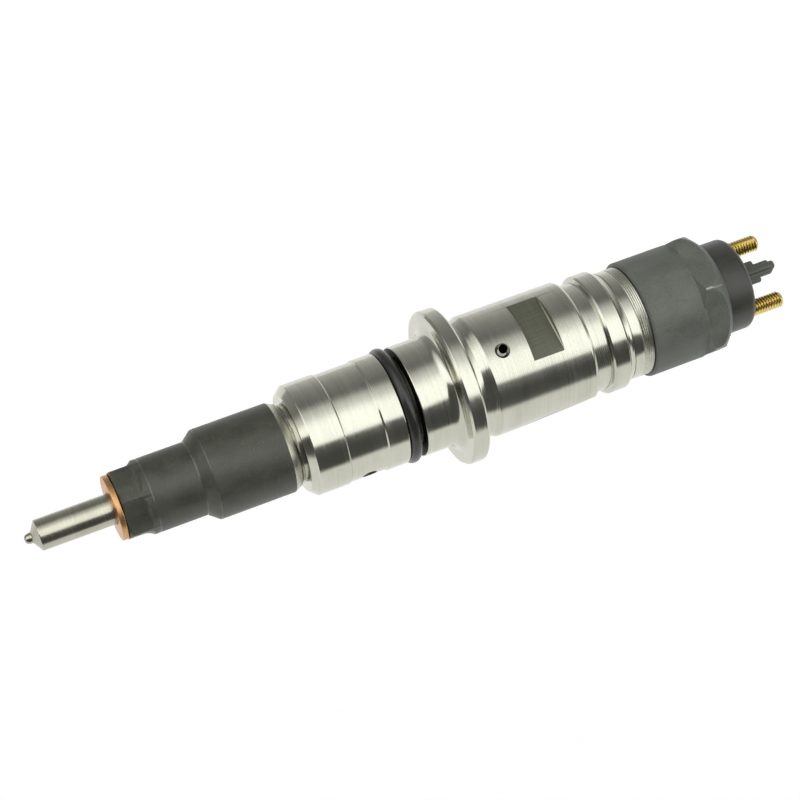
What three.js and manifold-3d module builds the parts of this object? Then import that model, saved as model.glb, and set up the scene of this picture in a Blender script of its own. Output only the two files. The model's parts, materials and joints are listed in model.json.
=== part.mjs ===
// A common-rail diesel fuel injector, lying along +X.
// The nozzle points towards -X and the terminals towards +X. Millimetres, +Z up.
// The origin is on the injector's axis, in the plane of the flange's seat face.
// A side of the injector is named by its roll: 0 degrees is +Z, and 90 degrees is -Y.
import * as THREE from "three";
import { mergeVertices } from "three/addons/utils/BufferGeometryUtils.js";
import Module from "manifold-3d";

const wasm = await Module();
wasm.setup();

// ---------------------------------------------------------------- driving dimensions

const FACETS = { large: 32, medium: 24, small: 14, wire: 6 };
const FIT = 0.2; // radial gap between pieces that don't move against each other
const RUNNING = 0.08; // radial gap of a piece that slides in its bore
const REST = 0.1; // gap between two faces that rest on each other

// Radii and stations, in the order that the pieces come along the axis.
const NOZZLE = {
  tip: -98.95, noseEnd: -97.35, shoulder: -97.2, shankStart: -95.85, collar: -75.0, top: -57.2,
  tipR: 0.75, noseR: 1.25, shoulderR: 1.5, shankR: 3.55, collarR: 7.15,
  sac: -97.4, seatStart: -95.2, boreEnd: -72.6, galleryStart: -71.2, galleryEnd: -68.7, guideStart: -68.0,
  guideR: 2.05, galleryR: 3.2, boreR: 1.75, sacR: 0.5,
};
const NEEDLE = {
  lift: 0.25, tip: -97.3, coneEnd: -95.65, stemStart: -95.4, stemEnd: -72.0, guideStart: -70.8, top: -55.9,
  tipR: 0.32, coneR: 1.25, stemR: 1.3, pinR: 1.1,
};
const WASHER = { thickness: 1.4, outerR: 7.45, innerR: 3.75 };
const NOZZLE_NUT = {
  front: -77.45, hexEnd: -73.75, runOut: -72.0, coneStart: -59.45, coneEnd: -57.0, threadEnd: -56.0,
  chamfer: -39.45, back: -37.65, hexAcrossFlats: 15, smallR: 8.55, largeR: 10.5, backR: 9.65,
};
const BODY = {
  lowerEnd: -57.05, threadStart: -55.8, undercut: -36.7, face: -36.3, chamferEnd: -34.65,
  reliefStart: -27.4, reliefEnd: -17.9, grooveStart: -13.05, grooveEnd: -8.85,
  upperEnd: 33.15, collarStart: 36.9, collarEnd: 41.05, topThread: 45.2, nutThread: 47.7, top: 53.0,
  lowerR: 7.05, threadR: 9.25, undercutR: 8.6, faceR: 11.4, mainR: 13.0, reliefR: 12.7, grooveR: 10.4,
  neckR: 13.5, upperR: 14.45, collarR: 14.2, waistR: 12.95, topThreadR: 12.9, engagedR: 12.5,
};
const NECK_SWEEP = [[13.6, 6.4], [13.95, 7.5], [14.45, 8.6]]; // from the neck out to the upper part
const COLLAR_SWEEP = [[13.4, 41.65], [13.1, 42.3], [12.95, 43.0]]; // from the collar in to the thread
const FLANGE = { thickness: 4.0, r: 18.3, edge: 0.5, seatFillet: 2.4, backFillet: 1.4 };
const WRENCH_FLAT = { start: 18.75, end: 26.45, fromAxis: 12.3, roll: 10 };
const LEAN_FLAT = { start: 9.5, depth: 1.35, roll: 132 };
const VENT = { x: 12.7, mouthR: 1.8, r: 1.1, depth: 5, roll: 23.3 };
const DRAIN = { x: -22.6, r: 1.5, depth: 4.5, roll: 115 };
const INLET = { x: -22.6, mouthR: 4.0, coneEndR: 2.2, coneDepth: 3.4, r: 1.9, roll: 205 };
const O_RING = { wireR: 1.55, majorR: 12.05 };
const DOWEL = { r: 0.75, length: 3.4, offset: 5.6, rolls: [90, 270] };

const PLUNGER = { r: 2.12, stemR: 1.5, start: -53.3, shoulder: -35.4, top: 20.6 };
const BORES = {
  springR: 3.2, springTop: -36.0, plungerR: 2.2, neckStart: 12.0, neckR: 4.5, headStart: 20.0,
  headR: 7.05, clampStart: 28.0, clampR: 8.6, armatureStart: 33.5, armatureR: 9.7,
  sleeveStart: 41.5, sleeveR: 10.9,
};
const VALVE = { start: 12.3, neckR: 3.05, stepX: 14.2, bodyR: 4.3, headR: 6.85, seat: 25.3, throttleR: 0.35 };
const BALL = { r: 0.75, x: 25.4 };
const HOLDER = { start: 25.7, face: 26.45, end: 27.2, mouthR: 0.95, r: 1.45 };
const GUIDE = { start: 26.3, flangeEnd: 28.0, hubEnd: 34.8, hubR: 3.0, recessR: 2.6, recessEnd: 27.7 };
const CLAMP_NUT = { start: 28.1, end: 32.9, innerR: 4.7, slots: 4, slotWidth: 2.4, slotDepth: 1.4 };
const ARMATURE = { pinR: 1.5, pinStart: 27.35, pinTop: 41.6, plate: 38.3, plateEnd: 39.7, plateR: 8.9 };
const ARMATURE_SLOT = { count: 4, width: 1.6, innerR: 4.6 };
const LOCK = { start: 39.9, end: 40.7, grooveR: 1.15, outerR: 2.9 };
const MAGNET = {
  face: 39.9, end: 55.2, r: 8.8, boreR: 3.2, boreEnd: 50.6, drainR: 1.2,
  slotInnerR: 4.7, slotOuterR: 7.5, slotEnd: 48.5,
};
const SLEEVE = {
  start: 41.7, innerR: 9.0, outerR: 10.7, flange: 53.3, end: 55.4, flangeR: 12.2, grooveR: 9.65,
};
const DISC_SPRING = [[7.0, 56.1], [8.5, 55.6], [8.6, 55.9], [7.1, 56.5]];
const SEAL = { x: 47.5, wireR: 0.5, majorR: 10.25, grooveHalf: 0.7 };
const SOLENOID_NUT = {
  start: 48.05, rimChamfer: 48.45, hexStart: 61.2, hexFull: 62.3, endCurve: 63.9, end: 68.4,
  r: 13.8, rimR: 13.3, cornerR: 15.45, endR: 12.1, boreR: 12.7, boreEnd: 66.1, lipR: 11.15,
  hexAcrossFlats: 27, endRound: [[15.05, 65.0], [14.3, 66.2], [13.3, 67.25]],
};
const HEX_ROLL = 34; // roll of one corner of both hexagons
const CAP = {
  start: 56.8, pocketEnd: 60.0, shoulder: 65.8, end: 75.65, corner: 1.6,
  skirtR: 12.3, pocketR: 9.8, r: 10.9,
};
const STUD = {
  r: 1.95, offset: 7.28, tip: 84.45, head: 58.4, headEnd: 59.8, headR: 2.2, chamfer: 0.5, roll: 116.7,
};
const POST = {
  tip: 86.35, width: 3.4, depth: 2.6, aside: 0.8, roll: 12.7,
  gussetTip: 81.9, gussetReach: 2.9, gussetWidth: 1.6,
};
const SPRING_SEAT = { start: -55.75, end: -53.75, r: 2.9 };
const SPRINGS = {
  nozzle: { start: -53.6, end: -37.4, meanR: 2.4, wireR: 0.38, turns: 6.5 },
  armature: { start: 35.0, end: 38.1, meanR: 2.25, wireR: 0.28, turns: 3.5 },
  valve: { start: 41.8, end: 49.3, meanR: 1.3, wireR: 0.3, turns: 5.5 },
};
const LEAD = { r: 0.5, holeR: 0.75, offset: 6.2, start: 48.4, end: 58.2 };

const COLOURS = {
  nozzle: [0x9a988c, 0.35, 1.0],
  copper: [0xb87350, 0.4, 1.0],
  phosphate: [0x46483f, 0.55, 0.6],
  steel: [0xc9c9c2, 0.25, 1.0],
  nitrided: [0x7d7f80, 0.3, 1.0],
  rubber: [0x1b1b1b, 0.55, 0.0],
  spring: [0x8a8c90, 0.35, 1.0],
  nutCoat: [0x535a52, 0.7, 0.3],
  moulding: [0x3d3a37, 0.6, 0.0],
  winding: [0xa3562e, 0.45, 0.8],
  brass: [0xc9a13b, 0.3, 1.0],
};

// ---------------------------------------------------------------- geometry helpers

const radians = THREE.MathUtils.degToRad;
const AXIS = new THREE.Vector3(1, 0, 0);

/** The direction away from the axis at a roll angle in degrees. */
function radial(roll) {
  return new THREE.Vector3(0, -Math.sin(radians(roll)), Math.cos(radians(roll)));
}

/** The signed volume of a closed geometry: positive when its faces point out. */
function signedVolume(geometry) {
  const { position } = geometry.attributes;
  const corners = [new THREE.Vector3(), new THREE.Vector3(), new THREE.Vector3()];
  let volume = 0;
  for (let i = 0; i < geometry.index.count; i += 3) {
    corners.forEach((corner, k) => corner.fromBufferAttribute(position, geometry.index.getX(i + k)));
    volume += corners[0].dot(corners[1].cross(corners[2])) / 6;
  }
  return volume;
}

/** Joins shared vertices, drops empty triangles and turns the faces outwards. */
function closed(geometry) {
  geometry.deleteAttribute("normal");
  geometry.deleteAttribute("uv");
  const joined = mergeVertices(geometry, 1e-5);
  const kept = [];
  for (let i = 0; i < joined.index.count; i += 3) {
    const [a, b, c] = [0, 1, 2].map((k) => joined.index.getX(i + k));
    if (a !== b && b !== c && c !== a) kept.push(a, b, c);
  }
  joined.setIndex(kept);
  if (signedVolume(joined) < 0) joined.setIndex(kept.reverse());
  return joined;
}

/** A turned piece about the axis. The profile is a list of [radius, station] points. */
function turned(profile, facets) {
  const points = profile.map(([r, x]) => new THREE.Vector2(r, x));
  const onAxis = profile[0][0] === 0 && profile.at(-1)[0] === 0;
  if (!onAxis) points.push(points[0].clone());
  const geometry = new THREE.LatheGeometry(points, facets);
  geometry.rotateZ(-Math.PI / 2);
  return closed(geometry);
}

/** A ring with a rectangular section. */
function ring(innerR, outerR, start, end, facets) {
  return turned([[innerR, start], [outerR, start], [outerR, end], [innerR, end]], facets);
}

/** Points of a profile's round corner about a centre, from one angle to another in degrees. */
function arc(centreR, centreX, radius, from, to, steps = 4) {
  return Array.from({ length: steps + 1 }, (_, i) => {
    const angle = radians(from + ((to - from) * i) / steps);
    return [centreR + radius * Math.cos(angle), centreX + radius * Math.sin(angle)];
  });
}

function solid(geometry) {
  const vertProperties = new Float32Array(geometry.attributes.position.array);
  const triVerts = new Uint32Array(geometry.index.array);
  return new wasm.Manifold(new wasm.Mesh({ numProp: 3, vertProperties, triVerts }));
}

function geometryOf(piece) {
  const mesh = piece.getMesh();
  const geometry = new THREE.BufferGeometry();
  geometry.setAttribute("position", new THREE.BufferAttribute(new Float32Array(mesh.vertProperties), 3));
  geometry.setIndex(new THREE.BufferAttribute(new Uint32Array(mesh.triVerts), 1));
  return geometry;
}

/** Cuts every tool out of a geometry. */
function cut(geometry, tools) {
  return geometryOf(tools.reduce((piece, tool) => piece.subtract(solid(tool)), solid(geometry)));
}

/** A straight pin or drill whose own axis starts at a point and runs along a direction. */
function rod(startR, endR, length, from, direction, facets = FACETS.small) {
  const geometry = new THREE.CylinderGeometry(endR, startR, length, facets);
  geometry.translate(0, length / 2, 0);
  const turn = new THREE.Quaternion().setFromUnitVectors(new THREE.Vector3(0, 1, 0), direction);
  geometry.applyQuaternion(turn);
  geometry.translate(from.x, from.y, from.z);
  return closed(geometry);
}

/** A point at a station, at a distance from the axis and a roll. */
function at(x, distance, roll) {
  return radial(roll).multiplyScalar(distance).setX(x);
}

/** A cutter whose outline, in [distance from the axis, station], is swept sideways by a width. */
function sideCutter(outline, width, roll) {
  const shape = new THREE.Shape(outline.map(([distance, x]) => new THREE.Vector2(x, distance)));
  const geometry = new THREE.ExtrudeGeometry(shape, { depth: width, bevelEnabled: false });
  geometry.translate(0, 0, -width / 2);
  geometry.rotateX(Math.PI / 2);
  geometry.rotateX(radians(roll));
  return closed(geometry);
}

/** A hexagonal bar along the axis, with one corner at HEX_ROLL. */
function hexBar(acrossFlats, start, end) {
  const cornerR = acrossFlats / Math.sqrt(3);
  const bar = new THREE.CylinderGeometry(cornerR, cornerR, end - start, 6);
  bar.rotateZ(-Math.PI / 2);
  bar.rotateX(radians(HEX_ROLL));
  bar.translate((start + end) / 2, 0, 0);
  return closed(bar);
}

/** A coil spring with flat-lying end turns, as a wire along a helix. */
function coilSpring({ start, end, meanR, wireR, turns }) {
  const stepsPerTurn = 9;
  const deadTurns = 0.75;
  const points = [];
  const live = end - start - 2 * wireR - 4 * wireR * deadTurns;
  for (let i = 0; i <= turns * stepsPerTurn; i += 1) {
    const turn = i / stepsPerTurn;
    const liveShare = THREE.MathUtils.clamp((turn - deadTurns) / (turns - 2 * deadTurns), 0, 1);
    const dead = Math.min(turn, deadTurns) + Math.max(turn - (turns - deadTurns), 0);
    const x = start + wireR + dead * 2 * wireR + liveShare * live;
    points.push(at(x, meanR, turn * 360));
  }
  const path = new THREE.CatmullRomCurve3(points);
  const section = new THREE.Shape();
  for (let i = 0; i < FACETS.wire; i += 1) {
    const angle = (i * 2 * Math.PI) / FACETS.wire;
    const corner = [wireR * Math.cos(angle), wireR * Math.sin(angle)];
    if (i === 0) section.moveTo(...corner);
    else section.lineTo(...corner);
  }
  const sweep = { steps: points.length - 1, extrudePath: path, bevelEnabled: false };
  return closed(new THREE.ExtrudeGeometry(section, sweep));
}

/** A rubber ring about the axis. */
function rubberRing(x, majorR, wireR, sides, facets) {
  return turned(arc(majorR, x, wireR, 0, 360, sides).slice(0, -1), facets);
}

// ---------------------------------------------------------------- nozzle end

function dowelHole(face, depth, roll) {
  return rod(DOWEL.r + FIT, DOWEL.r + FIT, depth, at(face, DOWEL.offset, roll), AXIS, 12);
}

function nozzleBody() {
  const n = NOZZLE;
  const blank = turned([
    [0, n.tip], [n.tipR, n.tip + 0.15], [n.noseR - 0.05, n.tip + 0.65], [n.noseR, n.noseEnd],
    [n.shoulderR, n.shoulder], [n.shankR, n.shankStart], [n.shankR, n.collar],
    [n.collarR, n.collar], [n.collarR, n.top], [n.guideR, n.top], [n.guideR, n.guideStart],
    [n.galleryR, n.galleryEnd], [n.galleryR, n.galleryStart],
    [n.boreR, n.boreEnd], [n.boreR, n.seatStart], [n.sacR, n.sac], [0, n.sac],
  ], FACETS.medium);
  return cut(blank, DOWEL.rolls.map((roll) => dowelHole(n.top - 2, 3, roll)));
}

function nozzleNeedle() {
  const n = NEEDLE;
  const guideR = NOZZLE.guideR - RUNNING;
  const shoulder = NOZZLE.top - n.lift - 0.05;
  return turned([
    [0, n.tip], [n.tipR, n.tip], [n.coneR, n.coneEnd], [n.stemR, n.stemStart], [n.stemR, n.stemEnd],
    [guideR, n.guideStart], [guideR, shoulder], [n.pinR, shoulder], [n.pinR, n.top], [0, n.top],
  ], FACETS.medium);
}

function sealingWasher() {
  const back = NOZZLE_NUT.front - REST;
  return ring(WASHER.innerR, WASHER.outerR, back - WASHER.thickness, back, FACETS.large);
}

function nozzleNut() {
  const n = NOZZLE_NUT;
  const flatR = n.hexAcrossFlats / 2;
  const beyond = n.smallR + 2;
  const blank = turned([
    [n.smallR - 0.5, n.front], [n.smallR, n.front + 0.6], [n.smallR, n.coneStart], [n.largeR, n.coneEnd],
    [n.largeR, n.chamfer], [n.backR, n.back],
    [BODY.threadR + FIT, n.back], [BODY.threadR + FIT, n.threadEnd],
    [NOZZLE.collarR + FIT, n.threadEnd], [NOZZLE.collarR + FIT, NOZZLE.collar - 0.3],
    [NOZZLE.shankR + FIT, NOZZLE.collar - 0.3], [NOZZLE.shankR + FIT, n.front],
  ], FACETS.large);
  const outline = [
    [flatR, n.front - 1], [flatR, n.hexEnd], [beyond, n.runOut + 1], [beyond, n.front - 1],
  ];
  const flats = [0, 1, 2, 3, 4, 5].map((i) => sideCutter(outline, n.smallR * 2, HEX_ROLL + 30 + 60 * i));
  return cut(blank, flats);
}

function dowel(roll) {
  return rod(DOWEL.r, DOWEL.r, DOWEL.length, at(NOZZLE.top - DOWEL.length / 2, DOWEL.offset, roll), AXIS, 12);
}

function springSeat() {
  const { start, end, r } = SPRING_SEAT;
  return turned([[0, start], [r, start], [r, end], [0, end]], FACETS.medium);
}

function nozzleSpringShim() {
  const top = BORES.springTop - REST;
  return ring(PLUNGER.stemR + 0.25, BORES.springR - FIT, top - 1.1, top, FACETS.medium);
}

function controlPlunger() {
  return turned([
    [0, PLUNGER.start], [PLUNGER.stemR, PLUNGER.start], [PLUNGER.stemR, PLUNGER.shoulder - 0.6],
    [PLUNGER.r, PLUNGER.shoulder], [PLUNGER.r, PLUNGER.top], [0, PLUNGER.top],
  ], FACETS.medium);
}

// ---------------------------------------------------------------- body

function injectorBody() {
  const b = BODY;
  const seat = FLANGE.seatFillet;
  const back = FLANGE.backFillet;
  const outside = [
    [0, b.lowerEnd], [b.lowerR, b.lowerEnd], [b.lowerR, b.threadStart], [b.threadR, b.threadStart],
    [b.threadR, b.undercut], [b.undercutR, b.undercut], [b.undercutR, b.face],
    [b.faceR, b.face], [b.mainR, b.chamferEnd],
    [b.mainR, b.reliefStart], [b.reliefR, b.reliefStart + 0.3],
    [b.reliefR, b.reliefEnd - 0.3], [b.mainR, b.reliefEnd], [b.mainR, b.grooveStart],
    [b.grooveR, b.grooveStart], [b.grooveR, b.grooveEnd], [b.mainR, b.grooveEnd],
    ...arc(b.mainR + seat, -seat, seat, 180, 90, 3),
    [FLANGE.r - FLANGE.edge, 0], [FLANGE.r, FLANGE.edge],
    [FLANGE.r, FLANGE.thickness - FLANGE.edge], [FLANGE.r - FLANGE.edge, FLANGE.thickness],
    ...arc(b.neckR + back, FLANGE.thickness + back, back, -90, -180, 2),
    ...NECK_SWEEP, [b.upperR, b.upperEnd - 0.8], [b.upperR - 0.7, b.upperEnd], [b.waistR, b.upperEnd],
    [b.waistR, b.collarStart], [b.collarR, b.collarStart + 0.4], [b.collarR, b.collarEnd],
    ...COLLAR_SWEEP, [b.waistR, b.topThread], [b.topThreadR, b.topThread], [b.topThreadR, b.nutThread],
    [b.engagedR, b.nutThread], [b.engagedR, b.top], [0, b.top],
  ];
  return cut(turned(outside, FACETS.large), [
    steppedBore(), ...wrenchFlats(), leanFlat(), ...vent(), drain(), ...inletPort(),
    ...DOWEL.rolls.map((roll) => dowelHole(b.lowerEnd - 1, 3.1, roll)),
  ]);
}

/** The bore that runs right through the body, from the armature's chamber to the nozzle spring's. */
function steppedBore() {
  return turned([
    [0, BODY.top + 1], [BORES.sleeveR, BODY.top + 1], [BORES.sleeveR, BORES.sleeveStart],
    [BORES.armatureR, BORES.sleeveStart], [BORES.armatureR, BORES.armatureStart],
    [BORES.clampR, BORES.armatureStart], [BORES.clampR, BORES.clampStart], [BORES.headR, BORES.clampStart],
    [BORES.headR, BORES.headStart], [BORES.neckR, BORES.headStart], [BORES.neckR, BORES.neckStart],
    [BORES.plungerR, BORES.neckStart], [BORES.plungerR, BORES.springTop], [BORES.springR, BORES.springTop],
    [BORES.springR, BODY.lowerEnd - 1], [0, BODY.lowerEnd - 1],
  ], FACETS.medium);
}

/** Two opposite milled flats for a spanner. */
function wrenchFlats() {
  const { start, end, fromAxis, roll } = WRENCH_FLAT;
  const outline = [[fromAxis, start], [fromAxis, end], [20, end], [20, start]];
  return [roll, roll + 180].map((side) => sideCutter(outline, 30, side));
}

/** A shallow flat that leans towards the upper end of the body. */
function leanFlat() {
  const outline = [
    [BODY.upperR, LEAN_FLAT.start], [BODY.upperR - LEAN_FLAT.depth, BODY.upperEnd],
    [20, BODY.upperEnd], [20, LEAN_FLAT.start],
  ];
  return sideCutter(outline, 30, LEAN_FLAT.roll);
}

/** A countersunk vent drilling, blind. */
function vent() {
  const inward = radial(VENT.roll).negate();
  const countersink = VENT.mouthR - VENT.r + 0.3;
  return [
    rod(VENT.mouthR + 0.5, VENT.r, countersink + 0.5, at(VENT.x, BODY.upperR + 0.5, VENT.roll), inward),
    rod(VENT.r, VENT.r, VENT.depth, at(VENT.x, BODY.upperR, VENT.roll), inward),
  ];
}

/** The blind mouth of the return drilling. */
function drain() {
  const mouth = at(DRAIN.x, BODY.reliefR + 1, DRAIN.roll);
  return rod(DRAIN.r, DRAIN.r, DRAIN.depth + 1, mouth, radial(DRAIN.roll).negate());
}

/** The high-pressure inlet: a sealing cone, and the drilling that runs on to the plunger's bore. */
function inletPort() {
  const inward = radial(INLET.roll).negate();
  const mouth = at(INLET.x, BODY.reliefR, INLET.roll);
  const outerMouth = at(INLET.x, BODY.reliefR + 1, INLET.roll);
  return [
    rod(INLET.mouthR, INLET.mouthR, 1, outerMouth, inward, FACETS.medium),
    rod(INLET.mouthR, INLET.coneEndR, INLET.coneDepth, mouth, inward, FACETS.medium),
    rod(INLET.r, INLET.r, BODY.reliefR - BORES.plungerR + 1, mouth, inward, FACETS.medium),
  ];
}

function bodyORing() {
  const x = BODY.grooveStart + O_RING.wireR + 0.05;
  return rubberRing(x, O_RING.majorR, O_RING.wireR, 10, FACETS.large);
}

/** The edge filter: a slim plug with a rib at each end, pressed into the inlet drilling. */
function inletFilter() {
  const r = INLET.r - FIT;
  const length = 4.6;
  const rib = 0.8;
  const waistR = r - 0.5;
  const profile = [
    [0, 0], [r, 0], [r, rib], [waistR, rib + 0.3],
    [waistR, length - rib - 0.3], [r, length - rib], [r, length], [0, length],
  ];
  const points = profile.map(([radius, y]) => new THREE.Vector2(radius, y));
  const filter = closed(new THREE.LatheGeometry(points, FACETS.small));
  const inward = radial(INLET.roll).negate();
  filter.applyQuaternion(new THREE.Quaternion().setFromUnitVectors(new THREE.Vector3(0, 1, 0), inward));
  const start = at(INLET.x, BODY.reliefR - INLET.coneDepth - 0.4, INLET.roll);
  filter.translate(start.x, start.y, start.z);
  return filter;
}

// ---------------------------------------------------------------- control valve

function valveBody() {
  const v = VALVE;
  return turned([
    [v.neckR, v.start], [v.neckR, v.stepX], [v.bodyR, v.stepX], [v.bodyR, BORES.headStart + 0.15],
    [v.headR, BORES.headStart + 0.15], [v.headR, v.seat], [0.9, v.seat], [v.throttleR, v.seat - 0.8],
    [v.throttleR, 21.6], [BORES.plungerR, 21.0], [BORES.plungerR, v.start],
  ], FACETS.medium);
}

function valveSealRing() {
  const [start, end] = [BORES.neckStart + REST, VALVE.stepX - REST];
  return ring(VALVE.neckR + 0.1, BORES.neckR - 0.1, start, end, FACETS.medium);
}

function valveBall() {
  const geometry = new THREE.SphereGeometry(BALL.r, 12, 8);
  geometry.translate(BALL.x, 0, 0);
  return closed(geometry);
}

function ballHolder() {
  const h = HOLDER;
  return turned([[0, h.face], [h.mouthR, h.start], [h.r, h.start], [h.r, h.end], [0, h.end]], FACETS.small);
}

function liftShim() {
  return ring(5.4, VALVE.headR, VALVE.seat + REST, GUIDE.start - REST, FACETS.medium);
}

function armatureGuide() {
  const boreR = ARMATURE.pinR + RUNNING;
  return turned([
    [GUIDE.recessR, GUIDE.start], [VALVE.headR, GUIDE.start], [VALVE.headR, GUIDE.flangeEnd],
    [GUIDE.hubR, GUIDE.flangeEnd], [GUIDE.hubR, GUIDE.hubEnd], [boreR, GUIDE.hubEnd],
    [boreR, GUIDE.recessEnd], [GUIDE.recessR, GUIDE.recessEnd],
  ], FACETS.medium);
}

function valveClampingNut() {
  const nut = ring(CLAMP_NUT.innerR, BORES.clampR - FIT, CLAMP_NUT.start, CLAMP_NUT.end, FACETS.medium);
  const outline = [
    [-12, CLAMP_NUT.end - CLAMP_NUT.slotDepth], [-12, CLAMP_NUT.end + 1],
    [12, CLAMP_NUT.end + 1], [12, CLAMP_NUT.end - CLAMP_NUT.slotDepth],
  ];
  return cut(nut, [0, 90].map((roll) => sideCutter(outline, CLAMP_NUT.slotWidth, roll)));
}

function armaturePin() {
  const a = ARMATURE;
  return turned([
    [0, a.pinStart], [a.pinR, a.pinStart], [a.pinR, LOCK.start], [LOCK.grooveR, LOCK.start],
    [LOCK.grooveR, LOCK.end], [a.pinR, LOCK.end], [a.pinR, a.pinTop], [0, a.pinTop],
  ], FACETS.medium);
}

function armaturePlate() {
  const a = ARMATURE;
  const plate = ring(a.pinR + RUNNING, a.plateR, a.plate, a.plateEnd, FACETS.medium);
  const outline = [
    [ARMATURE_SLOT.innerR, a.plate - 1], [ARMATURE_SLOT.innerR, a.plateEnd + 1],
    [a.plateR + 1, a.plateEnd + 1], [a.plateR + 1, a.plate - 1],
  ];
  const { count, width } = ARMATURE_SLOT;
  const slots = Array.from({ length: count }, (_, i) => sideCutter(outline, width, (i * 360) / count));
  return cut(plate, slots);
}

function lockWasher() {
  return ring(LOCK.grooveR + 0.1, LOCK.outerR, LOCK.start + 0.1, LOCK.end - 0.1, FACETS.medium);
}

// ---------------------------------------------------------------- solenoid

function leadHoles(start, length) {
  return [0, 180].map((side) => {
    const foot = at(start, LEAD.offset, STUD.roll + side);
    return rod(LEAD.holeR, LEAD.holeR, length, foot, AXIS, 12);
  });
}

function magnetCore() {
  const m = MAGNET;
  const blank = turned([
    [m.boreR, m.face], [m.slotInnerR, m.face], [m.slotInnerR, m.slotEnd], [m.slotOuterR, m.slotEnd],
    [m.slotOuterR, m.face], [m.r, m.face], [m.r, m.end], [m.drainR, m.end],
    [m.drainR, m.boreEnd], [m.boreR, m.boreEnd],
  ], FACETS.medium);
  return cut(blank, leadHoles(m.slotEnd - 0.5, 10));
}

function magnetCoil() {
  const m = MAGNET;
  return ring(m.slotInnerR + FIT, m.slotOuterR - FIT, m.face + 0.4, m.slotEnd - 0.3, FACETS.medium);
}

function magnetSleeve() {
  const s = SLEEVE;
  return turned([
    [s.innerR, s.start], [s.outerR, s.start], [s.outerR, SEAL.x - SEAL.grooveHalf],
    [s.grooveR, SEAL.x - SEAL.grooveHalf], [s.grooveR, SEAL.x + SEAL.grooveHalf],
    [s.outerR, SEAL.x + SEAL.grooveHalf], [s.outerR, s.flange],
    [s.flangeR, s.flange], [s.flangeR, s.end], [s.innerR, s.end],
  ], FACETS.large);
}

function solenoidORing() {
  return rubberRing(SEAL.x, SEAL.majorR, SEAL.wireR, 6, FACETS.medium);
}

function discSpring() {
  return turned(DISC_SPRING, FACETS.medium);
}

function springShim() {
  const top = MAGNET.boreEnd - REST;
  const r = MAGNET.boreR - FIT;
  return turned([[0, top - 1], [r, top - 1], [r, top], [0, top]], FACETS.medium);
}

function coilLead(side) {
  return rod(LEAD.r, LEAD.r, LEAD.end - LEAD.start, at(LEAD.start, LEAD.offset, STUD.roll + side), AXIS, 8);
}

function solenoidNut() {
  const n = SOLENOID_NUT;
  const barrel = turned([
    [0, n.start], [n.rimR, n.start], [n.r, n.rimChamfer], [n.r, n.hexStart + 0.4], [0, n.hexStart + 0.4],
  ], FACETS.large);
  const corners = turned([
    [0, n.hexStart], [n.r - 0.1, n.hexStart], [n.cornerR, n.hexFull], [n.cornerR, n.endCurve],
    ...n.endRound, [n.endR, n.end], [0, n.end],
  ], FACETS.large);
  const hexagon = solid(hexBar(n.hexAcrossFlats, n.hexStart - 1, n.end + 1)).intersect(solid(corners));
  const bore = turned([
    [0, n.start - 1], [n.boreR, n.start - 1], [n.boreR, n.boreEnd],
    [n.lipR, n.boreEnd], [n.lipR, n.end + 1], [0, n.end + 1],
  ], FACETS.large);
  return geometryOf(solid(barrel).add(hexagon).subtract(solid(bore)));
}

/** The moulded cap, with its anti-rotation post and the post's two gussets. */
function terminalCap() {
  const c = CAP;
  const blank = turned([
    [0, c.pocketEnd], [c.pocketR, c.pocketEnd], [c.pocketR, c.start],
    [c.skirtR, c.start], [c.skirtR, c.shoulder], [c.r, c.shoulder],
    ...arc(c.r - c.corner, c.end - c.corner, c.corner, 0, 90), [0, c.end],
  ], FACETS.large);
  const sunk = 1;
  const blade = (start, end, depth, width) => {
    const bar = new THREE.BoxGeometry(end - start, width, depth);
    bar.translate((start + end) / 2, POST.aside, 0);
    bar.rotateX(radians(POST.roll));
    return closed(bar);
  };
  const post = blade(c.end - sunk, POST.tip, POST.depth, POST.width);
  const gussets = blade(c.end - sunk, POST.gussetTip, POST.gussetWidth, 2 * POST.gussetReach);
  const holeR = STUD.r + FIT;
  const holes = [0, 180].map((side) => {
    const foot = at(c.pocketEnd - 1, STUD.offset, STUD.roll + side);
    return rod(holeR, holeR, c.end - c.pocketEnd + 2, foot, AXIS);
  });
  const moulding = solid(blank).add(solid(post)).add(solid(gussets));
  return cut(geometryOf(moulding), holes);
}

/** A threaded terminal, about its own axis, starting at its head. */
function terminalStud() {
  const length = STUD.tip - STUD.head;
  const head = STUD.headEnd - STUD.head;
  return turned([
    [0, 0], [STUD.headR, 0], [STUD.headR, head], [STUD.r, head], [STUD.r, length - STUD.chamfer],
    [STUD.r - STUD.chamfer, length], [0, length],
  ], FACETS.small);
}

// ---------------------------------------------------------------- assembly

function material([color, roughness, metalness]) {
  return new THREE.MeshStandardMaterial({ color, roughness, metalness });
}

function piece(name, geometry, colour, place = new THREE.Vector3()) {
  const mesh = new THREE.Mesh(geometry, material(colour));
  mesh.name = name;
  mesh.position.copy(place);
  return mesh;
}

function group(...pieces) {
  const made = new THREE.Group();
  made.add(...pieces);
  return made;
}

const nozzleEnd = group(
  piece("nozzle_body", nozzleBody(), COLOURS.nozzle),
  piece("nozzle_needle", nozzleNeedle(), COLOURS.nitrided),
  piece("sealing_washer", sealingWasher(), COLOURS.copper),
  piece("nozzle_nut", nozzleNut(), COLOURS.phosphate),
  piece("locating_pin_1", dowel(DOWEL.rolls[0]), COLOURS.nitrided),
  piece("locating_pin_2", dowel(DOWEL.rolls[1]), COLOURS.nitrided),
  piece("nozzle_spring_seat", springSeat(), COLOURS.nitrided),
  piece("nozzle_spring", coilSpring(SPRINGS.nozzle), COLOURS.spring),
  piece("nozzle_spring_shim", nozzleSpringShim(), COLOURS.steel),
  piece("control_plunger", controlPlunger(), COLOURS.nitrided),
);

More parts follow.
